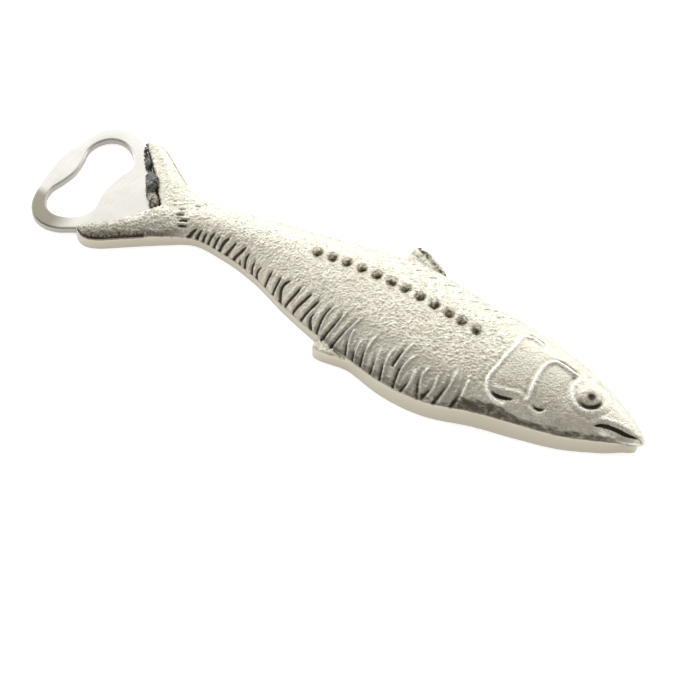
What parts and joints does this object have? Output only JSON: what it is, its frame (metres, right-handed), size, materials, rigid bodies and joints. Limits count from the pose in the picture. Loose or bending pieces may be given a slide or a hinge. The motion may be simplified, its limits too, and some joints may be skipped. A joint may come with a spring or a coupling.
{
  "type": "souvenir bottle opener",
  "caption": "Cast metal fish in half relief with a flat back and a stamped steel bottle opener ring held between its tail flukes.",
  "frame": {"origin": "on the flat ground back, on the axis of the opener plate, at mid-length", "axes": "+X towards the fish's nose, +Y towards its dorsal fin, +Z out of the relief; the opener lies on its back"},
  "size_m": [0.1813, 0.0455, 0.0138],
  "materials": {
    "cast_metal": "rough sand-cast skin, brightened, with a linished side band",
    "opener_steel": "polished stamped plate with faint brushing",
    "seam_filler": "lumpy dark residue"
  },
  "bodies": {
    "root": {"fish_casting": "cast_metal", "opener_plate": "opener_steel", "seam_filler": "seam_filler"}
  },
  "joints": []
}
